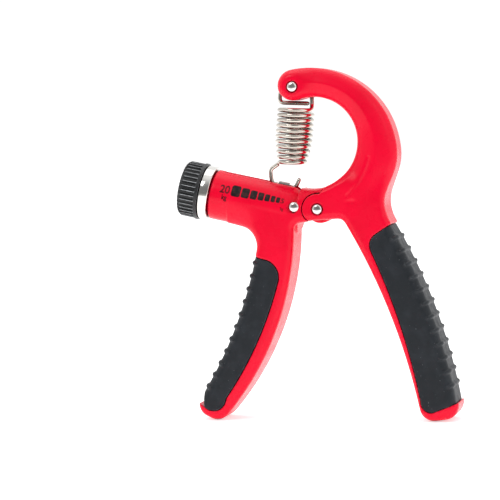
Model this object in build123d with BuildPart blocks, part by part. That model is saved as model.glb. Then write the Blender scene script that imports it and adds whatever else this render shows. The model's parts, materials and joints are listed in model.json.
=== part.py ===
"""Hand grip strengthener: two sprung handles, with a screw that sets the spring's lever arm."""
from math import atan2, cos, degrees, hypot, pi, radians, sin

import os

from build123d import *

os.makedirs("parts", exist_ok=True)

# ---------------------------------------------------------------- driving dimensions (mm)
PIVOT_X = 2.35           # handle pivot in the object's frame, whose origin is
PIVOT_Z = 94.26          # the middle of the bounding box's underside
HALF_BODY = 11.1         # half the thickness of the two moulded arms
HALF_TONGUE = 4.0        # finger arm's tongue, between the palm arm's two ears
HALF_FORK = 4.2          # room for the tongue between the ears
EAR_RADIUS = 6.8
EAR_POCKET_RADIUS = 7.1
TONGUE_RADIUS = 6.5
FORK_RADIUS = 6.9
EDGE_RADIUS = 3.0        # rounding of the moulded arms' long edges

BARREL_TILT = 12.5       # degrees, down towards the pivot
AXIS_DROP = 3.7          # barrel axis below the pivot
BARREL_RADIUS = 11.2
BORE_RADIUS = 8.2
BORE_END = 9.0           # stations along the barrel count from the pivot
SHOULDER = 50.0          # where the steel ferrule meets the moulded barrel
MOUTH = 53.8
SPIGOT_RADIUS = 10.2
FERRULE_RADIUS = 12.1
FERRULE_END = 54.2
SLOT_HALF_WIDTH = 2.7
SLOT_START = 10.6
SLOT_END = 46.4

SCREW_RADIUS = 3.0
JOURNAL_RADIUS = 2.0
JOURNAL_START = 13.4
THREAD_START = 15.6
SEAT_RADIUS = 2.6
SEAT_FLAT = 1.9          # height of the D-shaped seat's flat above the axis
SCREW_END = 60.8
BUSH_START = 47.0
FIT_GAP = 0.05

KNOB_RADIUS = 12.8
KNOB_START = 54.6
KNOB_END = 64.1
FLUTE_COUNT = 54
FLUTE_RADIUS = 0.55
CAP_RADIUS = 5.4

SLIDER_REST = 18.5       # station of the slider at the lightest setting
SLIDER_HALF_LENGTH = 2.5
WIRE_RADIUS = 0.95
WIRE_HEIGHT = 9.9        # hook wire above the barrel axis, under the slider's bridge

SPRING_PIN_AT = (-10.1, 54.3)     # from the pivot: across, up
BEARING_PIN_STATION = 11.2
BEARING_PIN_HEIGHT = 2.46
PIVOT_PIN_RADIUS = 1.75
SMALL_PIN_RADIUS = 1.5
HEAD_RADIUS = 2.25
RECESS_RADIUS = 2.75
RECESS_DEPTH = 0.7

GRIP_PROUD = 0.3         # rubber stands this much proud of the moulded arms
HALF_CORE = 9.0          # half thickness of the arms under the rubber
GRIP_WALL = 2.3          # rubber over the handles' outer edges
GRIP_ROUNDING = 4.0      # rounding of the rubber's outer long edges
RIB_PROUD = 0.9          # ribs' height over the rubber
RIB_RADIUS = 1.1
RIB_WRAP = 58            # degrees that each rib's end reaches round the rubber's edge

TOP_EDGE_RADIUS = 7.0    # rounding over the knuckle, where the barrel's round top runs out

HOOK_FORK_CENTRE = (-11.3, 51.6)
HOOK_FORK_SIZE = (19.8, 14.6)
HOOK_FORK_HALF_WIDTH = 1.6

CLIP_START = 46.3
CLIP_GROOVE_RADIUS = 2.4
FLANGE_WIDTH = 1.5
KNOB_HUB_END = 60.9
KNOB_SCREW_START = 55.6
KNOB_SCREW_RADIUS = 1.2
KNOB_SCREW_HEAD_RADIUS = 3.6

COIL_TOP = (-10.6, 44.6)          # middle of the first turn, from the pivot
COIL_BOTTOM = (-13.2, 20.2)       # middle of the last turn
COIL_TURNS = 10
COIL_TAPER_START = 5.5
COIL_RADIUS = 7.6
COIL_END_RADIUS = 5.7
LOOP_CENTRE = (-10.7, 49.5)       # upper hook, a loop over the spring pin
LOOP_RADIUS = 7.3

BRIDGE_TOP = 11.9
BRIDGE_FOOT = 5.6
BRIDGE_HALF_WIDTH = 2.3
BRIDGE_HALF_OPENING = 1.3

SCALE_MARKS = 7
SCALE_WIDTH = 4.1        # of the largest mark, along the barrel
SCALE_LENGTH = 4.8       # of the largest mark, round the barrel
SCALE_WIDTH_RATIO = 0.855        # from each mark to the next
SCALE_LENGTH_RATIO = 0.887
SCALE_GAP = 0.6
SCALE_START = 37.7       # station of the largest mark
SCALE_HEIGHT = 4.1
PRINT_THICKNESS = 0.08

# ---------------------------------------------------------------- planes and axes
tilt = radians(BARREL_TILT)
PIVOT = Vector(PIVOT_X, 0, PIVOT_Z)
ALONG = Vector(-cos(tilt), 0, sin(tilt))
ABOVE = Vector(sin(tilt), 0, cos(tilt))
BARREL_FOOT = PIVOT - ABOVE * AXIS_DROP

FRONT = Plane(origin=PIVOT, x_dir=(1, 0, 0), z_dir=(0, -1, 0))
BARREL = Plane(origin=BARREL_FOOT, x_dir=(0, -1, 0), z_dir=ALONG)
BARREL_SIDE = Plane(origin=BARREL_FOOT, x_dir=ALONG, z_dir=(0, 1, 0))
BARREL_AXIS = Axis(BARREL_FOOT, ALONG)
SCALE_PLANE = Plane(origin=BARREL_FOOT, x_dir=-ALONG, z_dir=(0, -1, 0))


def on_barrel(station, height):
    """Place on the front plane of a point at a station along the barrel and a height above its axis."""
    point = BARREL_FOOT + ALONG * station + ABOVE * height - PIVOT
    return (point.X, point.Z)


def arc_through(start, middle, end):
    """Centre, radius, start angle and sweep (degrees) of the arc through three points."""
    ax, ay = start
    bx, by = middle
    cx, cy = end
    d = 2 * (ax * (by - cy) + bx * (cy - ay) + cx * (ay - by))
    a2, b2, c2 = ax * ax + ay * ay, bx * bx + by * by, cx * cx + cy * cy
    ux = (a2 * (by - cy) + b2 * (cy - ay) + c2 * (ay - by)) / d
    uy = (a2 * (cx - bx) + b2 * (ax - cx) + c2 * (bx - ax)) / d
    first = degrees(atan2(ay - uy, ax - ux))
    last = degrees(atan2(cy - uy, cx - ux))
    sweep = (last - first + 180) % 360 - 180
    return (ux, uy), hypot(ax - ux, ay - uy), first, sweep


def arc_point(arc, share, outward=0.0):
    """Point at a share of an arc's sweep, moved outward from the arc's centre."""
    (ux, uy), radius, first, sweep = arc
    angle = radians(first + sweep * share)
    return (ux + (radius + outward) * cos(angle), uy + (radius + outward) * sin(angle))


LOWER_HOOK_ROUTE = [
    (-18.2, 20.3),
    (-21.9, 18.4),
    on_barrel(SLIDER_REST + 5.9, WIRE_HEIGHT),
    on_barrel(SLIDER_REST - 4.9, WIRE_HEIGHT),
    on_barrel(SLIDER_REST - 6.1, WIRE_HEIGHT + 4.9),
]
LOOP_TOP = LOOP_CENTRE[1] + LOOP_RADIUS
UPPER_LOOP_ROUTE = [
    (LOOP_CENTRE[0] + LOOP_RADIUS, COIL_TOP[1] - 0.4),
    (LOOP_CENTRE[0] + LOOP_RADIUS, LOOP_TOP),
    (LOOP_CENTRE[0] - LOOP_RADIUS, LOOP_TOP),
    (LOOP_CENTRE[0] - LOOP_RADIUS, COIL_TOP[1] + 2.9),
    (LOOP_CENTRE[0] + LOOP_RADIUS - 1.6, COIL_TOP[1] + 2.0),
]
COIL_RUN = Vector(COIL_BOTTOM[0] - COIL_TOP[0], 0, COIL_BOTTOM[1] - COIL_TOP[1])
COIL_PITCH = COIL_RUN.length / COIL_TURNS
COIL_START = PIVOT + Vector(COIL_TOP[0], 0, COIL_TOP[1])
COIL_SIDE = Plane(origin=COIL_START, x_dir=COIL_RUN, z_dir=(0, 1, 0))
COIL_AXIS = Axis(COIL_START, COIL_RUN)


def barrel_profile(*corners):
    """Half section of a piece that is round about the barrel axis, from (station, radius) corners."""
    with BuildSketch(BARREL_SIDE) as section:
        with BuildLine():
            Polyline(*corners, close=True)
        make_face()
    return section.sketch


def save(builder, name):
    """Label one finished piece and write its STEP file."""
    builder.part.label = name
    export_step(builder.part, f"parts/{name}.step")


# ---------------------------------------------------------------- outlines, from the pivot
PALM_OUTER = ((32.3, -6.1), (51.3, -48.2), (61.2, -87.5))
PALM_INNER = ((43.4, -88.0), (30.9, -45.7), (13.7, -9.2))
FINGER_OUTER = ((-28.6, -18.5), (-37.2, -47.3), (-56.9, -85.6))
FINGER_INNER = ((-41.6, -89.5), (-20.0, -53.0), (-11.3, -13.0))
CROWN_CENTRE = (-4.0, 23.0)          # outside of the C-shaped arm
CROWN_RADIUS = 39.6
TIP_RADIUS = 6.9
TIP_ANGLE = 101.0                    # direction of the tip from the crown's centre
MOUTH_RIGHT = 17.8                   # furthest reach of the C's inner side
MOUTH_LEVEL = 30.0
LOWER_MOUTH_RADIUS = 21.2
EAR_BOTTOM_ANGLE = 230.0
EAR_TOP_ANGLE = 81.0
STOP_LOW = (1.0, 7.03)
STOP_GAP = (0.12, -0.1)              # from the finger arm's stop face to the palm arm's


def polar(centre, radius, angle):
    """Point on a circle at an angle in degrees."""
    return (centre[0] + radius * cos(radians(angle)), centre[1] + radius * sin(radians(angle)))


PALM_ARC = arc_through(*PALM_OUTER)
PALM_INNER_ARC = arc_through(*PALM_INNER)
FINGER_ARC = arc_through(*FINGER_OUTER)
FINGER_INNER_ARC = arc_through(*FINGER_INNER)
TIP_CENTRE = polar(CROWN_CENTRE, CROWN_RADIUS - TIP_RADIUS, TIP_ANGLE)
LOWER_MOUTH_CENTRE = (MOUTH_RIGHT - LOWER_MOUTH_RADIUS, MOUTH_LEVEL)
# the upper inner arc touches the tip's circle from outside
_reach = MOUTH_RIGHT - TIP_CENTRE[0]
_rise = TIP_CENTRE[1] - MOUTH_LEVEL
UPPER_MOUTH_RADIUS = (_reach**2 + _rise**2 - TIP_RADIUS**2) / (2 * (_reach + TIP_RADIUS))
UPPER_MOUTH_CENTRE = (MOUTH_RIGHT - UPPER_MOUTH_RADIUS, MOUTH_LEVEL)
TOUCH_ANGLE = degrees(atan2(_rise, TIP_CENTRE[0] - UPPER_MOUTH_CENTRE[0]))
STOP_TOP = polar(LOWER_MOUTH_CENTRE, LOWER_MOUTH_RADIUS, -70.0)


def circle_arc(centre, radius, start, end):
    """Inside a BuildLine: arc of a circle between two angles in degrees."""
    middle = (start + end) / 2
    return ThreePointArc(*[polar(centre, radius, angle) for angle in (start, middle, end)])


def part_of(arc, start, end):
    """Inside a BuildLine: the stretch of an arc between two shares of its sweep."""
    return ThreePointArc(*[arc_point(arc, share) for share in (start, (start + end) / 2, end)])


def round_corner(sketch, corner, radius):
    """Inside a BuildSketch: round the corner nearest to a point."""
    fillet(sketch.vertices().sort_by_distance((*corner, 0))[0], radius=radius)


def palm_arm_face():
    """Face of the C-shaped spring arm, the knuckle and the palm handle."""
    foot_outside = arc_point(PALM_ARC, 1.06)
    foot_inside = arc_point(PALM_INNER_ARC, -0.085)
    armpit = arc_point(PALM_INNER_ARC, 1.066)
    ear_bottom = polar((0, 0), EAR_RADIUS, EAR_BOTTOM_ANGLE)
    ear_top = polar((0, 0), EAR_RADIUS, EAR_TOP_ANGLE)
    stop_low = (STOP_LOW[0] + STOP_GAP[0], STOP_LOW[1] + STOP_GAP[1])
    stop_top = polar(LOWER_MOUTH_CENTRE, LOWER_MOUTH_RADIUS, -69.6)
    with BuildSketch(FRONT) as face:
        with BuildLine():
            crown = circle_arc(CROWN_CENTRE, CROWN_RADIUS, TIP_ANGLE, 3.0)
            outer = part_of(PALM_ARC, 0, 1.06)
            Spline(crown @ 1, (33.6, 14.5), (29.9, 3.0), outer @ 0, tangents=(crown % 1, outer % 0))
            Line(foot_outside, foot_inside)
            part_of(PALM_INNER_ARC, -0.085, 1.066)
            Line(armpit, ear_bottom)
            circle_arc((0, 0), EAR_RADIUS, EAR_BOTTOM_ANGLE, EAR_TOP_ANGLE)
            Polyline(ear_top, stop_low, stop_top)
            circle_arc(LOWER_MOUTH_CENTRE, LOWER_MOUTH_RADIUS, -69.6, 0)
            circle_arc(UPPER_MOUTH_CENTRE, UPPER_MOUTH_RADIUS, 0, TOUCH_ANGLE)
            circle_arc(TIP_CENTRE, TIP_RADIUS, TOUCH_ANGLE + 180, TIP_ANGLE)
        make_face()
        round_corner(face, foot_outside, 6.5)
        round_corner(face, foot_inside, 6.5)
        round_corner(face, armpit, 3.8)
    return face.sketch


def finger_arm_face():
    """Face of the finger handle and the knuckle, up to the barrel's axis."""
    foot_outside = arc_point(FINGER_ARC, 1.066)
    foot_inside = arc_point(FINGER_INNER_ARC, -0.096)
    neck = arc_point(FINGER_ARC, -0.125)
    armpit = arc_point(FINGER_INNER_ARC, 1.08)
    under_barrel = on_barrel(40.0, -10.9)
    over_barrel = polar(LOWER_MOUTH_CENTRE, LOWER_MOUTH_RADIUS, -90 - BARREL_TILT)
    with BuildSketch(FRONT) as face:
        with BuildLine():
            Line(under_barrel, neck)
            part_of(FINGER_ARC, -0.125, 1.066)
            Line(foot_outside, foot_inside)
            part_of(FINGER_INNER_ARC, -0.096, 1.08)
            Polyline(armpit, (-4.9, -5.6), (0, 0), STOP_LOW, STOP_TOP)
            circle_arc(LOWER_MOUTH_CENTRE, LOWER_MOUTH_RADIUS, -70.0, -90 - BARREL_TILT)
            Polyline(over_barrel, on_barrel(9.5, 0), on_barrel(40.0, 0), under_barrel)
        make_face()
        round_corner(face, neck, 9.0)
        round_corner(face, foot_outside, 6.0)
        round_corner(face, foot_inside, 6.0)
        round_corner(face, armpit, 3.4)
    return face.sketch


PALM_RIBS = (12, 0.045, 0.925)       # count, and the stretch of the arc that they share out
FINGER_RIBS = (11, 0.03, 0.93)
PALM_PAD_TOP = arc_point(PALM_ARC, 0.01, -RIB_PROUD)
PALM_PAD_FOOT = arc_point(PALM_ARC, 0.985, -RIB_PROUD)
PALM_BORDER_TOP = (26.0, -11.3)
PALM_BORDER_FOOT = (49.5, -90.4)
FINGER_PAD_TOP = arc_point(FINGER_ARC, 0.03)
FINGER_PAD_FOOT = arc_point(FINGER_ARC, 0.93)
FINGER_BORDER_TOP = (-25.4, -21.9)


def beyond(corner, end, reach=6.0):
    """Point past the end of a line that starts at a corner."""
    length = hypot(end[0] - corner[0], end[1] - corner[1])
    share = 1 + reach / length
    return (corner[0] + (end[0] - corner[0]) * share, corner[1] + (end[1] - corner[1]) * share)


def palm_grip_border(top, foot):
    """Inner edge of the palm grip's rubber on the side faces, from its foot to its top."""
    Line(foot, PALM_BORDER_FOOT)
    ThreePointArc(PALM_BORDER_FOOT, (46.2, -89.3), (44.4, -85.0))
    ThreePointArc((44.4, -85.0), (34.7, -47.1), (23.6, -18.6))
    ThreePointArc((23.6, -18.6), (23.4, -14.6), PALM_BORDER_TOP)
    Line(PALM_BORDER_TOP, top)


def palm_grip_outline():
    """The palm grip's rubber without its ribs."""
    ThreePointArc(PALM_PAD_TOP, arc_point(PALM_ARC, 0.5, -RIB_PROUD), PALM_PAD_FOOT)
    palm_grip_border(PALM_PAD_TOP, PALM_PAD_FOOT)


def palm_seat_outline():
    """Room for the palm grip in the moulded arm, open towards the palm."""
    top = beyond(PALM_BORDER_TOP, PALM_PAD_TOP)
    foot = beyond(PALM_BORDER_FOOT, PALM_PAD_FOOT)
    Spline(top, arc_point(PALM_ARC, 0.5, 5.0), foot)
    palm_grip_border(top, foot)


def finger_grip_border(top, foot):
    """Inner edge of the finger grip's rubber on the side faces, from its foot to its top."""
    Line(foot, (-54.0, -88.0))
    ThreePointArc((-54.0, -88.0), (-48.6, -90.0), (-43.6, -84.5))
    ThreePointArc((-43.6, -84.5), (-24.1, -49.1), (-18.2, -31.5))
    ThreePointArc((-18.2, -31.5), (-19.6, -25.2), FINGER_BORDER_TOP)
    Line(FINGER_BORDER_TOP, top)


def finger_grip_outline():
    """The finger grip's rubber without its ribs."""
    ThreePointArc(FINGER_PAD_TOP, arc_point(FINGER_ARC, 0.48), FINGER_PAD_FOOT)
    finger_grip_border(FINGER_PAD_TOP, FINGER_PAD_FOOT)


def finger_seat_outline():
    """Room for the finger grip in the moulded arm, open towards the fingers."""
    top = beyond(FINGER_BORDER_TOP, FINGER_PAD_TOP)
    foot = (-62.0, -84.0)
    Spline(top, arc_point(FINGER_ARC, 0.48, -6.0), foot)
    finger_grip_border(top, foot)


def palm_core_outline():
    """Palm handle under the rubber."""
    ThreePointArc(*[arc_point(PALM_ARC, share, -GRIP_WALL - 1.0) for share in (0.06, 0.5, 0.94)])
    Polyline(
        arc_point(PALM_ARC, 0.94, -GRIP_WALL - 1.0),
        (46.0, -86.6),
        (33.5, -50.0),
        (22.0, -20.0),
        arc_point(PALM_ARC, 0.06, -GRIP_WALL - 1.0),
    )


def finger_core_outline():
    """Finger handle under the rubber. The rubber is on the side towards the arc's centre."""
    ThreePointArc(*[arc_point(FINGER_ARC, share, GRIP_WALL) for share in (0.06, 0.5, 0.9)])
    Polyline(
        arc_point(FINGER_ARC, 0.9, GRIP_WALL),
        (-44.5, -87.0),
        (-24.0, -51.0),
        (-17.0, -29.0),
        arc_point(FINGER_ARC, 0.06, GRIP_WALL),
    )


def outline_face(draw):
    """Face inside the closed line that a function draws on the front plane."""
    with BuildSketch(FRONT) as face:
        with BuildLine():
            draw()
        make_face()
    return face.sketch


def face_edges(part):
    """Edges that lie in an arm's two flat side faces."""
    return part.edges().filter_by(
        lambda e: abs(abs(e.center().Y) - HALF_BODY) < 1e-3 and e.bounding_box().size.Y < 1e-3
    )


HALF_GRIP = HALF_BODY + GRIP_PROUD


def grip_edges(part, arc, outward):
    """The two long edges between a grip's side faces and its outer face."""
    (across, up), radius, _, _ = arc
    centre = PIVOT + Vector(across, 0, up)

    def on_outer_face(edge):
        reach = edge.center() - centre
        return abs(hypot(reach.X, reach.Z) - radius - outward) < 0.1 and abs(reach.Y) > HALF_GRIP - 0.1

    return part.edges().filter_by(on_outer_face)


def round_edge_point(degrees_round):
    """Across and up from the middle of a grip's outer face: a rib's line where it bends round the edge."""
    bend = GRIP_ROUNDING - (RIB_RADIUS - RIB_PROUD)
    angle = radians(degrees_round)
    return (HALF_GRIP - GRIP_ROUNDING + bend * sin(angle), bend * cos(angle) - GRIP_ROUNDING)


def rib_paths(arc, ribs, outward, side):
    """Middle lines of a row of ribs across a grip's outer face, each bent round its edges.

    side is 1 where outside is away from the arc's centre, and -1 where it is towards the centre."""
    _, _, first, turn = arc
    count, low, high = ribs
    flat_end, bend_middle, end = [round_edge_point(turned) for turned in (0, RIB_WRAP / 2, RIB_WRAP)]
    paths = []
    for rib in range(count):
        share = low + (high - low) * (rib + 0.5) / count
        angle = radians(first + turn * share)
        outside = Vector(cos(angle), 0, sin(angle)) * side
        across, up = arc_point(arc, share, outward)
        place = PIVOT + Vector(across, 0, up)
        with BuildLine(Plane(origin=place, x_dir=(0, 1, 0), z_dir=Vector(0, 1, 0).cross(outside))) as path:
            ThreePointArc(*[(-x, y) for x, y in (end, bend_middle, flat_end)])
            Line((-flat_end[0], flat_end[1]), flat_end)
            ThreePointArc(flat_end, bend_middle, end)
        paths.append(path.wires()[0])
    return paths


def rib_section(path):
    """Round section at the start of a rib's line."""
    with BuildSketch(Plane(origin=path @ 0, z_dir=path % 0)) as section:
        Circle(RIB_RADIUS)
    return section.sketch


# ---------------------------------------------------------------- pins
def pin(name, across, up, half_length, shank_radius):
    """Two-piece rivet: a headed pin, and a headed sleeve pressed over its end."""
    centre = PIVOT + Vector(across, 0, up)
    side_plane = Plane(origin=centre, x_dir=(0, -1, 0), z_dir=(-1, 0, 0))
    base = half_length - RECESS_DEPTH
    tip = half_length + 0.8
    sleeve = base - 4.5
    post_radius = shank_radius * 0.6
    head = [
        (base, HEAD_RADIUS),
        (base + 0.5, HEAD_RADIUS),
        (tip - 0.35, HEAD_RADIUS * 0.75),
        (tip, HEAD_RADIUS * 0.3),
    ]
    pin_profile = [
        (tip, 0),
        (-base + 0.4, 0),
        (-base + 0.4, post_radius),
        (-sleeve, post_radius),
        (-sleeve, shank_radius),
        (base, shank_radius),
        *head,
    ]
    cap_profile = [
        (-tip, 0),
        (-base, 0),
        (-base, post_radius),
        (-sleeve, post_radius),
        (-sleeve, shank_radius),
        (-base, shank_radius),
        *[(-along, radius) for along, radius in head],
    ]
    for part_name, profile in ((name, pin_profile), (name + "_cap", cap_profile)):
        with BuildPart() as piece:
            with BuildSketch(side_plane):
                with BuildLine():
                    Polyline(*profile, close=True)
                make_face()
            revolve(axis=Axis(centre, (0, -1, 0)))
        save(piece, part_name)


BEARING_PIN_AT = on_barrel(BEARING_PIN_STATION, BEARING_PIN_HEIGHT)
pin("pivot_pin", 0, 0, HALF_BODY + 0.1, PIVOT_PIN_RADIUS)
pin("spring_pin", *SPRING_PIN_AT, HALF_BODY, SMALL_PIN_RADIUS)
pin("bearing_pin", *BEARING_PIN_AT, HALF_BODY, SMALL_PIN_RADIUS)


def disc(across, up, radius, depth=0.0):
    """Round face parallel to the front plane, at a depth towards the viewer."""
    with BuildSketch(FRONT.offset(depth)) as face:
        with Locations((across, up)):
            Circle(radius)
    return face.sketch


def pin_hole(across, up, shank_radius):
    """Inside a BuildPart: hole for a pin with a round recess for each of its heads."""
    extrude(disc(across, up, shank_radius), amount=HALF_BODY * 1.2, both=True, mode=Mode.SUBTRACT)
    for side in (1, -1):
        recess = disc(across, up, RECESS_RADIUS, side * (HALF_BODY - RECESS_DEPTH))
        extrude(recess, amount=side * 2 * RECESS_DEPTH, mode=Mode.SUBTRACT)


# ---------------------------------------------------------------- finger arm
with BuildPart() as finger_arm:
    extrude(finger_arm_face(), amount=HALF_BODY, both=True)
    handle_edges = face_edges(finger_arm).filter_by(lambda e: e.center().Z < PIVOT_Z - 5.7)
    fillet(handle_edges.filter_by(lambda e: e.center().X > PIVOT_X - 60), radius=EDGE_RADIUS)
    top_edges = face_edges(finger_arm).filter_by(lambda e: e.center().Z > PIVOT_Z + 8.7)
    fillet(top_edges, radius=TOP_EDGE_RADIUS)
    revolve(
        barrel_profile(
            (BORE_END - 1, 0),
            (BORE_END - 1, BARREL_RADIUS - 2),
            (BORE_END + 4, BARREL_RADIUS),
            (SHOULDER - 1, BARREL_RADIUS),
            (SHOULDER, BARREL_RADIUS - 0.9),
            (SHOULDER, SPIGOT_RADIUS),
            (MOUTH, SPIGOT_RADIUS),
            (MOUTH, 0),
        ),
        axis=BARREL_AXIS,
    )
    # pockets for the ears, and the tongue between them
    for side in (1, -1):
        with BuildSketch(FRONT.offset(side * HALF_TONGUE)):
            Circle(EAR_POCKET_RADIUS)
        extrude(amount=side * HALF_BODY, mode=Mode.SUBTRACT)
    with BuildSketch(FRONT):
        Circle(TONGUE_RADIUS)
    extrude(amount=HALF_TONGUE, both=True)
    # bore for the screw and the slider, and the slot over it
    with BuildSketch(BARREL.offset(BORE_END)):
        Circle(BORE_RADIUS)
    extrude(amount=MOUTH, mode=Mode.SUBTRACT)
    with BuildSketch(BARREL.offset(SLOT_START)):
        with Locations((0, BARREL_RADIUS)):
            Rectangle(2 * SLOT_HALF_WIDTH, BARREL_RADIUS)
    extrude(amount=SLOT_END - SLOT_START, mode=Mode.SUBTRACT)
    pin_hole(0, 0, PIVOT_PIN_RADIUS)
    pin_hole(*BEARING_PIN_AT, SMALL_PIN_RADIUS)
    # seat for the rubber
    extrude(outline_face(finger_seat_outline), amount=HALF_BODY * 2, both=True, mode=Mode.SUBTRACT)
    extrude(outline_face(finger_core_outline), amount=HALF_CORE, both=True)
save(finger_arm, "finger_arm")

with BuildPart() as finger_grip:
    extrude(outline_face(finger_grip_outline), amount=HALF_GRIP, both=True)
    fillet(grip_edges(finger_grip, FINGER_ARC, 0), radius=GRIP_ROUNDING)
    for rib in rib_paths(FINGER_ARC, FINGER_RIBS, 0, -1):
        sweep(rib_section(rib), path=rib)
        with Locations(rib @ 0, rib @ 1):
            Sphere(RIB_RADIUS)
    extrude(outline_face(finger_core_outline), amount=HALF_CORE, both=True, mode=Mode.SUBTRACT)
save(finger_grip, "finger_grip")

# ---------------------------------------------------------------- palm arm
with BuildPart() as palm_arm:
    extrude(palm_arm_face(), amount=HALF_BODY, both=True)
    long_edges = face_edges(palm_arm).filter_by(lambda e: (e.center() - PIVOT).length > EAR_RADIUS + 8)
    fillet(long_edges, radius=EDGE_RADIUS)
    # fork that takes the finger arm's tongue
    with BuildSketch(FRONT):
        Circle(FORK_RADIUS)
    extrude(amount=HALF_FORK, both=True, mode=Mode.SUBTRACT)
    # fork that takes the spring's upper hook
    with BuildSketch(FRONT):
        with Locations(HOOK_FORK_CENTRE):
            Rectangle(*HOOK_FORK_SIZE)
    extrude(amount=HOOK_FORK_HALF_WIDTH, both=True, mode=Mode.SUBTRACT)
    pin_hole(0, 0, PIVOT_PIN_RADIUS + FIT_GAP)
    pin_hole(*SPRING_PIN_AT, SMALL_PIN_RADIUS)
    # seat for the rubber
    extrude(outline_face(palm_seat_outline), amount=HALF_BODY * 2, both=True, mode=Mode.SUBTRACT)
    extrude(outline_face(palm_core_outline), amount=HALF_CORE, both=True)
save(palm_arm, "palm_arm")

with BuildPart() as palm_grip:
    extrude(outline_face(palm_grip_outline), amount=HALF_GRIP, both=True)
    fillet(grip_edges(palm_grip, PALM_ARC, -RIB_PROUD), radius=GRIP_ROUNDING)
    for rib in rib_paths(PALM_ARC, PALM_RIBS, -RIB_PROUD, 1):
        sweep(rib_section(rib), path=rib)
        with Locations(rib @ 0, rib @ 1):
            Sphere(RIB_RADIUS)
    extrude(outline_face(palm_core_outline), amount=HALF_CORE, both=True, mode=Mode.SUBTRACT)
save(palm_grip, "palm_grip")

# ---------------------------------------------------------------- barrel fittings
with BuildPart() as ferrule:
    revolve(
        barrel_profile(
            (SHOULDER, SPIGOT_RADIUS),
            (SHOULDER, FERRULE_RADIUS - 0.3),
            (SHOULDER + 0.3, FERRULE_RADIUS),
            (FERRULE_END - 0.3, FERRULE_RADIUS),
            (FERRULE_END, FERRULE_RADIUS - 0.3),
            (FERRULE_END, BORE_RADIUS),
            (MOUTH, BORE_RADIUS),
            (MOUTH, SPIGOT_RADIUS),
        ),
        axis=BARREL_AXIS,
    )
save(ferrule, "ferrule")

with BuildPart() as barrel_bush:
    revolve(
        barrel_profile(
            (BUSH_START, SCREW_RADIUS + FIT_GAP),
            (BUSH_START, BORE_RADIUS - 1.0),
            (BUSH_START + 1.0, BORE_RADIUS),
            (MOUTH, BORE_RADIUS),
            (MOUTH, SCREW_RADIUS + FIT_GAP),
        ),
        axis=BARREL_AXIS,
    )
save(barrel_bush, "barrel_bush")

with BuildPart() as end_bearing:
    revolve(
        barrel_profile(
            (BORE_END, 0),
            (BORE_END, BORE_RADIUS),
            (THREAD_START - 0.4, BORE_RADIUS),
            (THREAD_START - 0.4, JOURNAL_RADIUS + FIT_GAP),
            (JOURNAL_START - 0.2, JOURNAL_RADIUS + FIT_GAP),
            (JOURNAL_START - 0.2, 0),
        ),
        axis=BARREL_AXIS,
    )
    # flat top, clear of the spring's hook
    with BuildSketch(BARREL):
        with Locations((0, BORE_RADIUS + 4.6)):
            Rectangle(2 * BORE_RADIUS, 2 * BORE_RADIUS)
    extrude(amount=MOUTH, mode=Mode.SUBTRACT)
    with BuildSketch(FRONT):
        with Locations(BEARING_PIN_AT):
            Circle(SMALL_PIN_RADIUS)
    extrude(amount=BARREL_RADIUS, both=True, mode=Mode.SUBTRACT)
save(end_bearing, "end_bearing")

# ---------------------------------------------------------------- force scale printed on the barrel
with BuildPart() as force_scale:
    station = SCALE_START
    for mark in range(SCALE_MARKS):
        width = SCALE_WIDTH * SCALE_WIDTH_RATIO**mark
        length = SCALE_LENGTH * SCALE_LENGTH_RATIO**mark
        with BuildSketch(SCALE_PLANE):
            with Locations((-station, SCALE_HEIGHT)):
                RectangleRounded(width, length, width * 0.22)
        extrude(amount=FERRULE_RADIUS)
        station -= width * (1 + SCALE_WIDTH_RATIO) / 2 + SCALE_GAP
    # the print is a thin skin of the barrel's surface
    add(
        revolve(
            barrel_profile(
                (BORE_END, BARREL_RADIUS),
                (SHOULDER, BARREL_RADIUS),
                (SHOULDER, BARREL_RADIUS + PRINT_THICKNESS),
                (BORE_END, BARREL_RADIUS + PRINT_THICKNESS),
            ),
            axis=BARREL_AXIS,
            mode=Mode.PRIVATE,
        ),
        mode=Mode.INTERSECT,
    )
save(force_scale, "force_scale")

# ---------------------------------------------------------------- knob and screw
with BuildPart() as lead_screw:
    revolve(
        barrel_profile(
            (JOURNAL_START, 0),
            (JOURNAL_START, JOURNAL_RADIUS - 0.3),
            (JOURNAL_START + 0.3, JOURNAL_RADIUS),
            (THREAD_START, JOURNAL_RADIUS),
            (THREAD_START, SCREW_RADIUS),
            (CLIP_START, SCREW_RADIUS),
            (CLIP_START, CLIP_GROOVE_RADIUS),
            (BUSH_START - 0.1, CLIP_GROOVE_RADIUS),
            (BUSH_START - 0.1, SCREW_RADIUS),
            (KNOB_START + 0.1, SCREW_RADIUS),
            (KNOB_START + 0.1, SEAT_RADIUS),
            (SCREW_END, SEAT_RADIUS),
            (SCREW_END, KNOB_SCREW_RADIUS),
            (KNOB_SCREW_START, KNOB_SCREW_RADIUS),
            (KNOB_SCREW_START, 0),
        ),
        axis=BARREL_AXIS,
    )
    with BuildSketch(BARREL.offset(KNOB_START + 0.1)):
        with Locations((0, SEAT_FLAT + SEAT_RADIUS)):
            Rectangle(2 * SEAT_RADIUS, 2 * SEAT_RADIUS)
    extrude(amount=SCREW_END, mode=Mode.SUBTRACT)
save(lead_screw, "lead_screw")

with BuildPart() as circlip:
    with BuildSketch(BARREL.offset(CLIP_START)):
        Circle(SCREW_RADIUS + 1.6)
        Circle(CLIP_GROOVE_RADIUS, mode=Mode.SUBTRACT)
        with Locations((0, SCREW_RADIUS + 1)):
            Rectangle(2 * CLIP_GROOVE_RADIUS - 0.8, 2 * SCREW_RADIUS, mode=Mode.SUBTRACT)
    extrude(amount=BUSH_START - 0.1 - CLIP_START)
save(circlip, "circlip")

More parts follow.
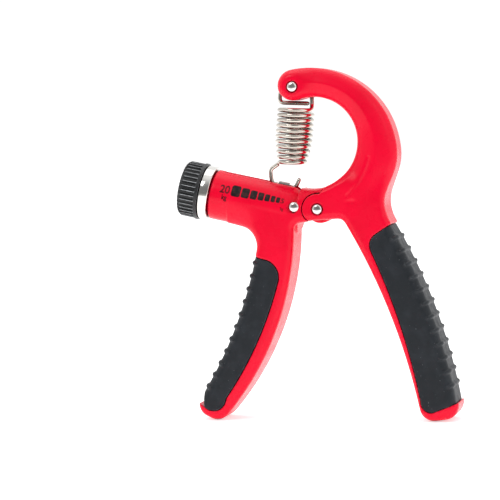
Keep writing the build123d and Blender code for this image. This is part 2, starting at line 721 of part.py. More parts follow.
with BuildPart() as thrust_washer:
    with BuildSketch(BARREL.offset(MOUTH + 0.1)):
        Circle(BORE_RADIUS - 1.2)
        Circle(SCREW_RADIUS + 0.1, mode=Mode.SUBTRACT)
    extrude(amount=KNOB_START - MOUTH - 0.1)
save(thrust_washer, "thrust_washer")

with BuildPart() as knob:
    revolve(
        barrel_profile(
            (KNOB_START, 0),
            (KNOB_START, KNOB_RADIUS - 0.3),
            (KNOB_START + 0.3, KNOB_RADIUS),
            (KNOB_START + FLANGE_WIDTH - 0.3, KNOB_RADIUS),
            (KNOB_START + FLANGE_WIDTH, KNOB_RADIUS - 0.3),
            (KNOB_END - 1.6, KNOB_RADIUS - 0.3),
            (KNOB_END - 0.5, KNOB_RADIUS - 0.8),
            (KNOB_END, KNOB_RADIUS - 1.9),
            (KNOB_END, CAP_RADIUS),
            (KNOB_HUB_END, CAP_RADIUS),
            (KNOB_HUB_END, 0),
        ),
        axis=BARREL_AXIS,
    )
    with BuildSketch(BARREL.offset(KNOB_START + FLANGE_WIDTH)):
        with PolarLocations(KNOB_RADIUS + FLUTE_RADIUS * 0.25, FLUTE_COUNT):
            Circle(FLUTE_RADIUS)
    extrude(amount=KNOB_END, mode=Mode.SUBTRACT)
    with BuildSketch(BARREL.offset(KNOB_START)):
        Circle(SEAT_RADIUS)
        with Locations((0, SEAT_FLAT + SEAT_RADIUS)):
            Rectangle(2 * SEAT_RADIUS, 2 * SEAT_RADIUS, mode=Mode.SUBTRACT)
    extrude(amount=KNOB_END, mode=Mode.SUBTRACT)
    with BuildSketch(BARREL.offset(KNOB_START)):
        Circle(SCREW_RADIUS + FIT_GAP)
    extrude(amount=0.1, mode=Mode.SUBTRACT)
save(knob, "knob")

with BuildPart() as knob_screw:
    revolve(
        barrel_profile(
            (KNOB_SCREW_START, 0),
            (KNOB_SCREW_START, KNOB_SCREW_RADIUS),
            (KNOB_HUB_END, KNOB_SCREW_RADIUS),
            (KNOB_HUB_END, KNOB_SCREW_HEAD_RADIUS),
            (KNOB_HUB_END + 1.0, KNOB_SCREW_HEAD_RADIUS),
            (KNOB_HUB_END + 1.5, KNOB_SCREW_HEAD_RADIUS - 0.6),
            (KNOB_HUB_END + 1.5, 0),
        ),
        axis=BARREL_AXIS,
    )
    with BuildSketch(BARREL.offset(KNOB_HUB_END + 0.7)):
        Rectangle(3.6, 0.9)
        Rectangle(0.9, 3.6)
    extrude(amount=1.0, mode=Mode.SUBTRACT)
save(knob_screw, "knob_screw")

with BuildPart() as knob_cap:
    revolve(
        barrel_profile(
            (KNOB_END - 1.4, 0),
            (KNOB_END - 1.4, CAP_RADIUS),
            (KNOB_END - 0.3, CAP_RADIUS),
            (KNOB_END, CAP_RADIUS - 0.3),
            (KNOB_END + 0.2, CAP_RADIUS - 2.4),
            (KNOB_END + 0.25, 0),
        ),
        axis=BARREL_AXIS,
    )
save(knob_cap, "knob_cap")

# ---------------------------------------------------------------- slider
with BuildPart() as hook_bridge:
    with BuildSketch(BARREL.offset(SLIDER_REST - SLIDER_HALF_LENGTH)):
        with Locations((0, BRIDGE_TOP)):
            Rectangle(2 * BRIDGE_HALF_WIDTH, BRIDGE_TOP - BRIDGE_FOOT, align=(Align.CENTER, Align.MAX))
        with Locations((0, WIRE_HEIGHT + WIRE_RADIUS + FIT_GAP)):
            opening_width = 2 * BRIDGE_HALF_OPENING
            Rectangle(opening_width, BRIDGE_TOP, align=(Align.CENTER, Align.MAX), mode=Mode.SUBTRACT)
    extrude(amount=2 * SLIDER_HALF_LENGTH)
    long_edges = hook_bridge.edges().filter_by(Axis((0, 0, 0), ALONG))
    fillet(long_edges.sort_by(Axis((0, 0, 0), ABOVE))[-2:], radius=0.6)
save(hook_bridge, "hook_bridge")

with BuildPart() as slider_nut:
    with BuildSketch(BARREL.offset(SLIDER_REST - SLIDER_HALF_LENGTH)):
        Circle(BORE_RADIUS - 0.25)
        Circle(SCREW_RADIUS + FIT_GAP, mode=Mode.SUBTRACT)
    extrude(amount=2 * SLIDER_HALF_LENGTH)
    add(hook_bridge.part, mode=Mode.SUBTRACT)
save(slider_nut, "slider_nut")

# ---------------------------------------------------------------- spring
def coil_radius(turn):
    """Distance of the wire's middle from the coil's axis: narrower over the last turns."""
    taper = max(0.0, (turn - COIL_TAPER_START) / (COIL_TURNS - COIL_TAPER_START))
    return COIL_RADIUS - (COIL_RADIUS - COIL_END_RADIUS) * taper**1.3


def coil_section(first, last):
    """Half section of a stretch of the coil, with a thin web that joins its turns."""
    middles = [(turn * COIL_PITCH, coil_radius(turn)) for turn in range(first, last + 1)]
    web = 0.2
    with BuildSketch(COIL_SIDE) as section:
        with Locations(*middles):
            Circle(WIRE_RADIUS)
        with BuildLine():
            Polyline(
                *[(along, radius - web) for along, radius in middles],
                *[(along, radius + web) for along, radius in reversed(middles)],
                close=True,
            )
        make_face()
    return section.sketch


def front_place(point):
    """Point of the object's frame for a point of the front plane."""
    return PIVOT + Vector(point[0], 0, point[1])


with BuildPart() as spring_top:
    revolve(coil_section(0, 3), axis=COIL_AXIS)
    with BuildLine(FRONT) as loop_path:
        FilletPolyline(*UPPER_LOOP_ROUTE, radius=[LOOP_RADIUS - 0.02, LOOP_RADIUS - 0.02, 1.3])
    with BuildSketch(Plane(origin=front_place(UPPER_LOOP_ROUTE[0]), z_dir=(0, 0, 1))):
        Circle(WIRE_RADIUS)
    sweep(path=loop_path.line)
save(spring_top, "spring_top")

with BuildPart() as spring_middle:
    revolve(coil_section(4, 7), axis=COIL_AXIS)
save(spring_middle, "spring_middle")

with BuildPart() as spring_end:
    revolve(coil_section(8, 10), axis=COIL_AXIS)
    with BuildLine(FRONT) as hook_path:
        FilletPolyline(*LOWER_HOOK_ROUTE, radius=1.5)
    heading = (Vector(*LOWER_HOOK_ROUTE[1]) - Vector(*LOWER_HOOK_ROUTE[0])).normalized()
    with BuildSketch(Plane(origin=front_place(LOWER_HOOK_ROUTE[0]), z_dir=(heading.X, 0, heading.Y))):
        Circle(WIRE_RADIUS)
    sweep(path=hook_path.line)
save(spring_end, "spring_end")
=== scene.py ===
"""Looks of the hand grip strengthener: red plastic arms, rubber grips, steel spring, rivets and knob."""
import json
import math

import bpy
import numpy as np
from mathutils import Matrix, Vector

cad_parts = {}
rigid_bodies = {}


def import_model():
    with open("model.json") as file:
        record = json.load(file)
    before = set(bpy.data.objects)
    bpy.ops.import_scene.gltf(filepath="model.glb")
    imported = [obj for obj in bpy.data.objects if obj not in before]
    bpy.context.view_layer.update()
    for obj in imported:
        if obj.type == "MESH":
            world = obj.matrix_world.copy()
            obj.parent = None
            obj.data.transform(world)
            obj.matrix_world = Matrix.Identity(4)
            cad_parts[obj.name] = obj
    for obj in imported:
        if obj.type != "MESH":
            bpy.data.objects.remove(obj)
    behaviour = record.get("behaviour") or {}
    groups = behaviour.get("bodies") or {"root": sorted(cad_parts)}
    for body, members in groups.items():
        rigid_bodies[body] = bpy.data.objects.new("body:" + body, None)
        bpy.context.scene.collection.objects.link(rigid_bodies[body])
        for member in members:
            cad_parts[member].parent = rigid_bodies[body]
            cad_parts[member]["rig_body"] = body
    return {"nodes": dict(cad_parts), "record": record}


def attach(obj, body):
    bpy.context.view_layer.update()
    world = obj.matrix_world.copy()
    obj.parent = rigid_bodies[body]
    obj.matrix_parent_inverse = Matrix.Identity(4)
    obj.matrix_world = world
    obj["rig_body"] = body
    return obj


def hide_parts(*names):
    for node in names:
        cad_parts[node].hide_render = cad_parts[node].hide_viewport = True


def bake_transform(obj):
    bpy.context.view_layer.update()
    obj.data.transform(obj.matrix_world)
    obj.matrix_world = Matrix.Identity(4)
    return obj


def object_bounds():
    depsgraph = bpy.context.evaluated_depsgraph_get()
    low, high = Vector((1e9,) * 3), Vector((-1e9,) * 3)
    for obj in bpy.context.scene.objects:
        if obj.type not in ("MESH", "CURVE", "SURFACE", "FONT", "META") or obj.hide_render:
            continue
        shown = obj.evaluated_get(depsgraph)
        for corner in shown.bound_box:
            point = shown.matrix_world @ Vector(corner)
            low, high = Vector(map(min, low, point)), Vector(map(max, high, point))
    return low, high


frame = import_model()
cad_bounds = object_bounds()

MM = 0.001
PIVOT = Vector((2.35, 0.0, 94.26))          # rivet that joins the two arms, in mm
ALONG = Vector((-0.976296, 0.0, 0.216440))  # along the barrel, towards the knob
ABOVE = Vector((0.216440, 0.0, 0.976296))
FRONT = Vector((0.0, -1.0, 0.0))
BARREL_FOOT = PIVOT - 3.7 * ABOVE           # where the barrel's axis passes under the pivot
BARREL_RADIUS = 11.2
# places along the barrel, here called stations, are in mm from its foot

# rivets
HEAD_RADIUS = 2.25
HEAD_RIM = 0.45          # height of the head's straight rim
HEAD_DOME = 1.05         # height of the dome over it
RECESS_DEPTH = 0.7       # how far the heads sink into the arms' sides
PIN_STOP = 4.6           # the pin's shank ends this far short of the other side
CAP_SHANK = 4.5
# across and up from the pivot, half length, shank radius, body of the pin
RIVETS = {
    "pivot_pin": ((0.0, 0.0), 11.2, 1.75, "finger_handle"),
    "spring_pin": ((-10.1, 54.3), 11.1, 1.5, "palm_handle"),
    "bearing_pin": ((-10.402, 1.126), 11.1, 1.5, "finger_handle"),
}

# spring, in mm across and up from the pivot
WIRE_RADIUS = 0.95
WIRE_SIDES = 14
WIRE_STEP = 0.5
WIRE_TIP = (0.55, 0.9)   # share of the radius at the last cross sections before a free end
COIL_TOP = (-10.6, 44.6)
COIL_BOTTOM = (-13.2, 20.2)
COIL_RADIUS = 7.6
COIL_END_RADIUS = 5.7
COIL_TURNS = 10.5
TAPER_START = 5.8        # turn at which the coil starts to narrow
TAPER_POWER = 1.3
SHARED_TURN = 8.0        # turn at which the upper length of wire hands over to the lower one
RINGS_PER_TURN = 40
UPPER_LOOP = [(-4.6, 46.75), (-18.0, 47.5), (-18.0, 56.8), (-3.4, 56.8), (-3.4, 45.6)]
LOOP_RADII = (1.3, 7.28, 7.28)
HOOK_CORNER = (-23.2, 17.6)
LOWER_HOOK_STATIONS = [(24.4, 9.9), (13.6, 9.9), (12.4, 14.8)]     # station, and height above the axis
HOOK_RADII = (2.0, 1.5, 1.5)
CORNER_POINTS = 24

# ferrule and screw
FERRULE_RADIUS = 12.1
FERRULE_BORE = 9.6
FERRULE_START = 50.05
FERRULE_END = 54.2
FERRULE_ROUNDING = 0.4
SCREW_RADIUS = 3.0
SCREW_SIDES = 48
THREAD_PITCH = 2.0
THREAD_DEPTH = 0.32
THREAD_STEP = 0.1
THREAD_START = 15.6
THREAD_END = 46.2
BEFORE_THREAD = ((13.4, 1.7), (13.7, 2.0), (THREAD_START, 2.0))     # station, radius
AFTER_THREAD = ((THREAD_END, 3.0), (46.3, 2.4), (47.0, 3.0), (54.6, 3.0), (54.7, 2.5), (60.8, 2.5))

# knob
KNOB_RADIUS = 12.8
KNOB_START = 54.6
KNOB_END = 64.1
KNOB_BORE = 3.1
KNOB_DISH = 5.45         # radius of the dish that its cap sits in
KNOB_DISH_FLOOR = 60.9
FIN_RADIUS = 12.5
FIN_DEPTH = 0.85
FIN_COUNT = 36
FIN_SAMPLES = 10         # points round the knob for each fin
FIN_SLOPE = (0.02, 0.34)  # shares of the spacing, from a fin's crest, between which its side falls
FIN_HIGHLIGHT_DEPTH = 0.12          # depth of the painted highlight on each fin's crest


def place(across, up, depth=0.0):
    """Point of the row's frame in metres, for a point seen from the front and measured from the pivot."""
    return (PIVOT + Vector((across, -depth, up))) * MM


def around(angle, first, second):
    """Direction at that angle from the first towards the second."""
    return math.cos(angle) * first + math.sin(angle) * second


def smoothstep(low, high, value):
    """Rises smoothly from 0 at low to 1 at high, or the other way round if high is below low."""
    t = np.clip((value - low) / (high - low), 0, 1)
    return t * t * (3 - 2 * t)


# ---------------------------------------------------------------- materials
class Finish:
    """A material's node tree, with short ways to add the parts that every finish uses."""

    def __init__(self, name):
        self.material = bpy.data.materials.new(name)
        self.material.use_nodes = True
        self.tree = self.material.node_tree
        self.shader = self.tree.nodes["Principled BSDF"]
        self.where = self.node("ShaderNodeTexCoord").outputs["Object"]

    def node(self, kind, **settings):
        made = self.tree.nodes.new(kind)
        for key, value in settings.items():
            setattr(made, key, value)
        return made

    def link(self, source, target):
        self.tree.links.new(source, target)

    def noise(self, scale, detail=3.0, stretch=(1, 1, 1)):
        mapping = self.node("ShaderNodeMapping")
        mapping.inputs["Scale"].default_value = stretch
        self.link(self.where, mapping.inputs["Vector"])
        made = self.node("ShaderNodeTexNoise")
        made.inputs["Scale"].default_value = scale
        made.inputs["Detail"].default_value = detail
        self.link(mapping.outputs["Vector"], made.inputs["Vector"])
        return made.outputs["Fac"]

    def spread(self, source, low, high, out_low, out_high):
        made = self.node("ShaderNodeMapRange")
        for key, value in (("From Min", low), ("From Max", high), ("To Min", out_low), ("To Max", out_high)):
            made.inputs[key].default_value = value
        self.link(source, made.inputs["Value"])
        return made.outputs["Result"]

    def mix(self, factor, first, second):
        made = self.node("ShaderNodeMix", data_type="RGBA")
        self.link(factor, made.inputs[0])
        for socket, colour in ((made.inputs[6], first), (made.inputs[7], second)):
            if isinstance(colour, tuple):
                socket.default_value = (*colour, 1)
            else:
                self.link(colour, socket)
        return made.outputs[2]

    def product(self, first, second):
        made = self.node("ShaderNodeMath", operation="MULTIPLY")
        self.link(first, made.inputs[0])
        self.link(second, made.inputs[1])
        return made.outputs[0]

    def edge_wear(self, low, high, noise_scale):
        """Where outside edges have rubbed: the surface's pointed places, broken up by noise."""
        pointed = self.node("ShaderNodeNewGeometry").outputs["Pointiness"]
        edges = self.spread(pointed, low, high, 0, 1)
        return self.product(edges, self.spread(self.noise(noise_scale), 0.42, 0.62, 0, 1))

    def painted_gap_shade(self, colour, dark, reach, clear=0.85):
        """Darkens a colour where another surface lies close by: painted shade in a gap, from ambient
        occlusion.
        """
        open_air = self.node("ShaderNodeAmbientOcclusion", samples=6)
        open_air.inputs["Distance"].default_value = reach
        return self.mix(self.spread(open_air.outputs["AO"], 0.2, clear, 0, 1), dark, colour)

    def bump(self, *layers):
        """Layers are (height source, distance in metres), coarse first."""
        below = None
        for source, distance in layers:
            made = self.node("ShaderNodeBump")
            made.inputs["Strength"].default_value = 1.0
            made.inputs["Distance"].default_value = distance
            self.link(source, made.inputs["Height"])
            if below is not None:
                self.link(below, made.inputs["Normal"])
            below = made.outputs["Normal"]
        self.link(below, self.shader.inputs["Normal"])

    def colour(self, source):
        self.link(source, self.shader.inputs["Base Color"])

    def roughness(self, noise, low, high):
        self.link(self.spread(noise, 0.3, 0.7, low, high), self.shader.inputs["Roughness"])

    def set(self, **values):
        for key, value in values.items():
            self.shader.inputs[key.replace("_", " ")].default_value = value
        return self.material


def moulded_plastic(name, colour, shade, worn, rough, coat, grain=0.000012):
    """Plastic that varies between colour and shade, with worn edges. Grain is its fine relief in metres."""
    finish = Finish(name)
    cloud = finish.spread(finish.noise(70, 4), 0.35, 0.65, 0, 1)
    body = finish.mix(cloud, colour, shade)
    used = finish.mix(finish.edge_wear(0.53, 0.62, 600), body, worn)
    gap_shade = tuple(0.25 * channel for channel in shade)
    # painted shade: darkens towards gap_shade in gaps and recesses, from ambient occlusion
    finish.colour(finish.painted_gap_shade(used, gap_shade, 0.0012))
    finish.roughness(finish.noise(240, 5), rough - 0.05, rough + 0.07)
    finish.bump((finish.noise(110, 2), 0.00005), (finish.noise(2600, 2), grain))
    return finish.set(Coat_Weight=coat, Coat_Roughness=0.18, Specular_IOR_Level=0.12)


def rubber(name):
    """Matt black rubber with pale edges and specks of dust."""
    finish = Finish(name)
    dust = finish.spread(finish.noise(160, 6), 0.45, 0.75, 0, 1)
    body = finish.mix(dust, (0.008, 0.011, 0.015), (0.016, 0.020, 0.026))
    worn = finish.mix(finish.edge_wear(0.52, 0.6, 400), body, (0.09, 0.1, 0.11))
    specks = finish.spread(finish.noise(1300, 1), 0.74, 0.8, 0, 0.7)
    used = finish.mix(specks, worn, (0.16, 0.17, 0.18))
    # painted shade: darkens the rubber in gaps and recesses, from ambient occlusion
    finish.colour(finish.painted_gap_shade(used, (0.004, 0.005, 0.006), 0.0015))
    finish.roughness(finish.noise(330, 5), 0.42, 0.6)
    finish.bump((finish.noise(260, 3), 0.00006), (finish.noise(2100, 3), 0.00004))
    return finish.set(Specular_IOR_Level=0.3)


def steel(name, colour, dark, rough, brushed, reach=0.0014, clear=0.85):
    """Steel with fine brushing across the given stretch of the noise."""
    finish = Finish(name)
    smear = finish.spread(finish.noise(55, 5), 0.35, 0.7, 0, 1)
    gap_shade = tuple(0.08 * channel for channel in dark)
    # painted shade: darkens the steel towards gap_shade in gaps and recesses, from ambient occlusion
    finish.colour(finish.painted_gap_shade(finish.mix(smear, colour, dark), gap_shade, reach, clear))
    finish.roughness(finish.noise(420, 4, brushed), rough * 0.7, rough * 1.5)
    finish.bump((finish.noise(90, 2), 0.00003), (finish.noise(1900, 2, brushed), 0.000008))
    return finish.set(Metallic=1.0)


def fin_plastic(name):
    """Black plastic of the knob, with a painted highlight on the crests of its fins."""
    finish = Finish(name)
    # distance from the barrel's axis, found by turning that axis level
    tilt = -math.atan2(ALONG.z, -ALONG.x)
    mapping = finish.node("ShaderNodeMapping", vector_type="POINT")
    mapping.inputs["Rotation"].default_value = (0, tilt, 0)
    finish.link(finish.where, mapping.inputs["Vector"])
    split = finish.node("ShaderNodeSeparateXYZ")
    finish.link(mapping.outputs["Vector"], split.inputs[0])
    foot = Matrix.Rotation(tilt, 3, "Y") @ (BARREL_FOOT * MM)
    offset = finish.node("ShaderNodeMath", operation="SUBTRACT")
    offset.inputs[1].default_value = foot.z
    finish.link(split.outputs["Z"], offset.inputs[0])
    joined = finish.node("ShaderNodeCombineXYZ")
    finish.link(split.outputs["Y"], joined.inputs["Y"])
    finish.link(offset.outputs[0], joined.inputs["Z"])
    length = finish.node("ShaderNodeVectorMath", operation="LENGTH")
    finish.link(joined.outputs[0], length.inputs[0])
    distance = length.outputs["Value"]
    # painted highlight: the crests of the fins are coloured pale, made patchy by noise
    rise = finish.spread(distance, (FIN_RADIUS - FIN_HIGHLIGHT_DEPTH) * MM, FIN_RADIUS * MM, 0, 1)
    inside_ring = finish.spread(distance, (FIN_RADIUS + 0.03) * MM, (FIN_RADIUS + 0.1) * MM, 1, 0)
    crest = finish.product(rise, inside_ring)
    highlight_breakup = finish.spread(finish.noise(500, 4), 0.3, 0.7, 0.35, 1)
    body = finish.mix(finish.noise(150, 4), (0.004, 0.005, 0.006), (0.010, 0.011, 0.013))
    # pale grey of the painted highlight on the crests
    finish.colour(finish.mix(finish.product(crest, highlight_breakup), body, (0.66, 0.69, 0.72)))
    finish.roughness(finish.noise(300, 4), 0.34, 0.5)
    finish.bump((finish.noise(2300, 2), 0.000015))
    return finish.set(Specular_IOR_Level=0.5)


RED = moulded_plastic(
    "red_plastic", (0.90, 0.0004, 0.031), (0.82, 0.0004, 0.026), (0.90, 0.04, 0.07), rough=0.28, coat=0.14
)
RUBBER = rubber("grip_rubber")
BLACK = fin_plastic("black_plastic")
GREY = moulded_plastic(
    "grey_plastic", (0.26, 0.26, 0.27), (0.20, 0.20, 0.21), (0.4, 0.4, 0.41), rough=0.4, coat=0.0
)
INK = moulded_plastic(
    "print", (0.010, 0.008, 0.009), (0.018, 0.012, 0.013), (0.05, 0.02, 0.02), rough=0.4, coat=0.1,
    grain=0.00002,
)
RED_INK = moulded_plastic(
    "print_dark_red", (0.055, 0.002, 0.006), (0.035, 0.002, 0.004), (0.2, 0.01, 0.02), rough=0.42, coat=0.1
)
FAINT_INK = moulded_plastic(
    "print_faint", (0.26, 0.002, 0.012), (0.20, 0.002, 0.010), (0.4, 0.02, 0.03), rough=0.42, coat=0.1
)
POLISHED = steel("polished_steel", (0.84, 0.82, 0.78), (0.66, 0.65, 0.63), 0.08, (1, 6, 1))
MACHINED = steel("machined_steel", (0.50, 0.50, 0.51), (0.36, 0.36, 0.37), 0.3, (1, 4, 4))
# longer reach and full range deepen the painted shade between the coil's turns
SPRING = steel(
    "spring_steel", (0.78, 0.72, 0.64), (0.46, 0.42, 0.37), 0.15, (3, 3, 1), reach=0.0035, clear=1.0
)
LOOKS = {
    "red_plastic": RED,
    "grip_rubber": RUBBER,
    "black_plastic": BLACK,
    "grey_plastic": GREY,
    "print": INK,
    "polished_steel": POLISHED,
    "machined_steel": MACHINED,
    "spring_steel": SPRING,
}


# ---------------------------------------------------------------- meshes
def slot_of(node):
    return next(part["material_slot"] for part in frame["record"]["subparts"] if part["node"] == node)


def body_of(node):
    return frame["nodes"][node]["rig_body"]


def new_piece(name, vertices, faces, material, smooth=True):
    mesh = bpy.data.meshes.new(name)
    mesh.from_pydata([tuple(v) for v in vertices], [], faces)
    mesh.validate()
    mesh.materials.append(material)
    mesh.polygons.foreach_set("use_smooth", [smooth] * len(mesh.polygons))
    mesh.update()
    piece = bpy.data.objects.new(name, mesh)
    bpy.context.scene.collection.objects.link(piece)
    return piece


def tube_faces(rings, sides, flip=False, closed=False):
    """Faces between rings of vertices. The two ends are capped, or meet each other where it is closed."""
    faces = []
    for ring in range(rings if closed else rings - 1):
        here, there = ring * sides, (ring + 1) % rings * sides
        for k in range(sides):
            after = (k + 1) % sides
            face = (here + k, here + after, there + after, there + k)
            faces.append(face[:1] + face[:0:-1] if flip else face)
    if not closed:
        first, last = tuple(range(sides)), tuple(range((rings - 1) * sides, rings * sides))
        faces += [first, last[::-1]] if flip else [first[::-1], last]
    return faces


def lathe(name, profile, foot, axis, material, sides):
    """Solid of revolution. Profile is a list of (along the axis, radius) in mm, from end to end."""
    axis = Vector(axis).normalized()
    first = axis.orthogonal().normalized()
    second = axis.cross(first)
    vertices = []
    for along, radius in profile:
        for k in range(sides):
            angle = 2 * math.pi * k / sides
            vertices.append((foot + along * axis + radius * around(angle, first, second)) * MM)
    return new_piece(name, vertices, tube_faces(len(profile), sides), material)


def round_corner(along, height, radius, first, last):
    """Points of an arc for a profile, in degrees about its centre."""
    angles = np.radians(np.linspace(first, last, 6)).tolist()
    return [(along + radius * math.cos(a), height + radius * math.sin(a)) for a in angles]


def stand_for(piece, body, slot, *nodes):
    """Fixes a piece to a body and hides the CAD nodes that it replaces. Its material slot is not used."""
    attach(piece, body)
    if nodes:
        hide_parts(*nodes)


def softened(node, voxel, passes):
    """Copy of a CAD node as one even skin, with every hard edge rounded off as moulding leaves it."""
    source = frame["nodes"][node]
    copy = bpy.data.objects.new(node + "_skin", source.data.copy())
    bpy.context.scene.collection.objects.link(copy)
    remesh = copy.modifiers.new("skin", "REMESH")
    remesh.mode = "VOXEL"
    remesh.voxel_size = voxel * MM
    remesh.use_smooth_shade = True
    wrap = copy.modifiers.new("wrap", "SHRINKWRAP")
    wrap.target = source
    wrap.wrap_method = "NEAREST_SURFACEPOINT"
    relax = copy.modifiers.new("relax", "SMOOTH")
    relax.factor = 0.5
    relax.iterations = passes
    mesh = bpy.data.meshes.new_from_object(copy.evaluated_get(bpy.context.evaluated_depsgraph_get()))
    old = copy.data
    copy.modifiers.clear()
    copy.data = mesh
    bpy.data.meshes.remove(old)
    mesh.materials.clear()
    mesh.materials.append(LOOKS[slot_of(node)])
    mesh.polygons.foreach_set("use_smooth", [True] * len(mesh.polygons))
    return copy


def coordinates(piece):
    values = np.zeros(len(piece.data.vertices) * 3)
    piece.data.vertices.foreach_get("co", values)
    return values.reshape(-1, 3)


def normals(piece):
    values = np.zeros(len(piece.data.vertices) * 3)
    piece.data.vertices.foreach_get("normal", values)
    return values.reshape(-1, 3)


def move_to(piece, values):
    piece.data.vertices.foreach_set("co", values.reshape(-1))
    piece.data.update()


# ---------------------------------------------------------------- arms
ARM_VOXEL = 0.46

# rounding of the C-shaped arm; places are in mm across and up from the pivot
CROWN = 0.34             # share of its thickness that the arm loses at its edges
CROWN_POWER = 1.35
CROWN_REACH = 9.5        # from the edge to the arm's full thickness
CROWN_CENTRE = (-4.0, 23.0)     # outside of the C, then the two circles of its mouth
CROWN_RADIUS = 39.6
UPPER_MOUTH_CENTRE = (-1.785, 30.0)
UPPER_MOUTH_RADIUS = 19.585
LOWER_MOUTH_CENTRE = (-3.4, 30.0)
LOWER_MOUTH_RADIUS = 21.2
HANDLE_FADE = (16, 2)    # heights between which the rounding fades out towards the handle
PIVOT_FADE = (13, 26)    # distances from the pivot and from the spring's rivet where it sets in
PIN_FADE = (3.5, 11)

# pressed into both faces of the knuckle
CREASE = [(23.3, 22.4), (20.6, 12.6), (13.6, 5.6)]     # three points of one curve
CREASE_DEPTH = 0.42
CREASE_WIDTH = 0.7
DIMPLE = (15.2, 3.0)
DIMPLE_DEPTH = 0.4
DIMPLE_SIZE = (1.7, 1.1)

# web between the barrel and the finger handle
WEB_RADIUS = 12.6        # the web's outer side as it leaves the barrel
WEB_LEAST = 0.16         # least share of the barrel's thickness, squared
WEB_ALONG = (24.0, 40.0)        # stations between which the rounding sets in
WEB_TOP = (2, -3)        # heights over the axis between which it sets in, from above and from below
WEB_BOTTOM = (-24, -15)
BARREL_END = 49.0


def crown_arm(piece):
    """Rounds the C-shaped arm across its width, and presses the knuckle's crease and dimple into it."""
    values = coordinates(piece)
    facing = normals(piece)
    across = values[:, 0] / MM - PIVOT.x
    up = values[:, 2] / MM - PIVOT.z
    depth = values[:, 1] / MM

    def distance(centre):
        return np.hypot(across - centre[0], up - centre[1])

    from_outside = CROWN_RADIUS - distance(CROWN_CENTRE)
    upper_mouth = distance(UPPER_MOUTH_CENTRE) - UPPER_MOUTH_RADIUS
    lower_mouth = distance(LOWER_MOUTH_CENTRE) - LOWER_MOUTH_RADIUS
    from_inside = np.where(up > UPPER_MOUTH_CENTRE[1], upper_mouth, lower_mouth)
    edge = np.minimum(from_outside, from_inside)
    lost = CROWN * (1 - np.clip(edge / CROWN_REACH, 0, 1)) ** CROWN_POWER
    off_pivot = smoothstep(*PIVOT_FADE, distance((0, 0)))
    off_pin = smoothstep(*PIN_FADE, distance(RIVETS["spring_pin"][0]))
    off_handle = 1 - smoothstep(*HANDLE_FADE, up)
    depth = depth * (1 - lost * off_pivot * off_pin * off_handle)

    first, middle, last = (np.array(point) for point in CREASE)
    nearest = np.full(len(across), np.inf)
    for share in np.linspace(0, 1, 40):
        point = (1 - share) ** 2 * first + 2 * share * (1 - share) * middle + share**2 * last
        nearest = np.minimum(nearest, distance(point))
    crease = CREASE_DEPTH * np.exp(-((nearest / CREASE_WIDTH) ** 2))
    oval = ((across - DIMPLE[0]) / DIMPLE_SIZE[0]) ** 2 + ((up - DIMPLE[1]) / DIMPLE_SIZE[1]) ** 2
    pressed = np.maximum(crease, DIMPLE_DEPTH * np.exp(-oval))
    # only on the outer faces, not on the slot or the edges
    on_face = smoothstep(8, 10, np.abs(depth)) * smoothstep(0.5, 0.9, np.abs(facing[:, 1]))
    depth -= np.sign(depth) * pressed * on_face
    values[:, 1] = depth * MM
    move_to(piece, values)


def round_web(piece):
    """Lets the flat web under the barrel run out into the barrel's round side near the ferrule."""
    values = coordinates(piece)
    across, up = values[:, 0] / MM - BARREL_FOOT.x, values[:, 2] / MM - BARREL_FOOT.z
    station = across * ALONG.x + up * ALONG.z
    height = across * ABOVE.x + up * ABOVE.z
    depth = values[:, 1] / MM
    rounded = BARREL_RADIUS * np.sqrt(np.maximum(1 - (height / WEB_RADIUS) ** 2, WEB_LEAST))
    share = smoothstep(*WEB_ALONG, station) * smoothstep(*WEB_TOP, height) * smoothstep(*WEB_BOTTOM, height)
    limit = np.abs(depth) * (1 - share) + np.minimum(np.abs(depth), rounded) * share
    values[:, 1] = np.sign(depth) * np.where(station < BARREL_END, limit, np.abs(depth)) * MM
    move_to(piece, values)


palm_arm = softened("palm_arm", ARM_VOXEL, 2)
crown_arm(palm_arm)
stand_for(palm_arm, "palm_handle", "red_plastic", "palm_arm")
finger_arm = softened("finger_arm", ARM_VOXEL, 2)
round_web(finger_arm)
stand_for(finger_arm, "finger_handle", "red_plastic", "finger_arm")


# ---------------------------------------------------------------- grips
GRIP_VOXEL = 0.34
PAD_GAP = 0.32           # mm between the rubber's border and the red plastic round it
SIDE_FACING = (0.5, 0.85)       # how far a normal lies in the front plane, from the faces to the border
RIB_FACING = (0.45, 0.1)        # how far it points at the fingers or the palm, from the ribs to the border
RIPPLE_DEPTH = 0.03
RIPPLE_RATE = (90, 260)         # radians per metre


def rubber_surface(piece, seed, outward):
    """Opens the gap round the rubber's border and makes it slightly uneven as moulded, inwards only."""
    values = coordinates(piece)
    facing = normals(piece)
    sideways = np.hypot(facing[:, 0], facing[:, 2])
    border = smoothstep(*SIDE_FACING, sideways) * smoothstep(*RIB_FACING, outward * facing[:, 0])
    values -= facing * (border * PAD_GAP * MM)[:, None]
    random = np.random.default_rng(seed)
    waves = random.uniform(*RIPPLE_RATE, (6, 3)) * random.choice([-1, 1], (6, 3))
    phase = random.uniform(0, 2 * math.pi, 6)
    ripple = np.sin(values @ waves.T + phase).mean(1)
    values -= facing * ((ripple + 1) * RIPPLE_DEPTH * MM)[:, None]
    move_to(piece, values)


for grip_node, grip_seed, grip_outward in (("palm_grip", 3, 1), ("finger_grip", 8, -1)):
    grip = softened(grip_node, GRIP_VOXEL, 6)
    rubber_surface(grip, grip_seed, grip_outward)
    stand_for(grip, body_of(grip_node), "grip_rubber", grip_node)


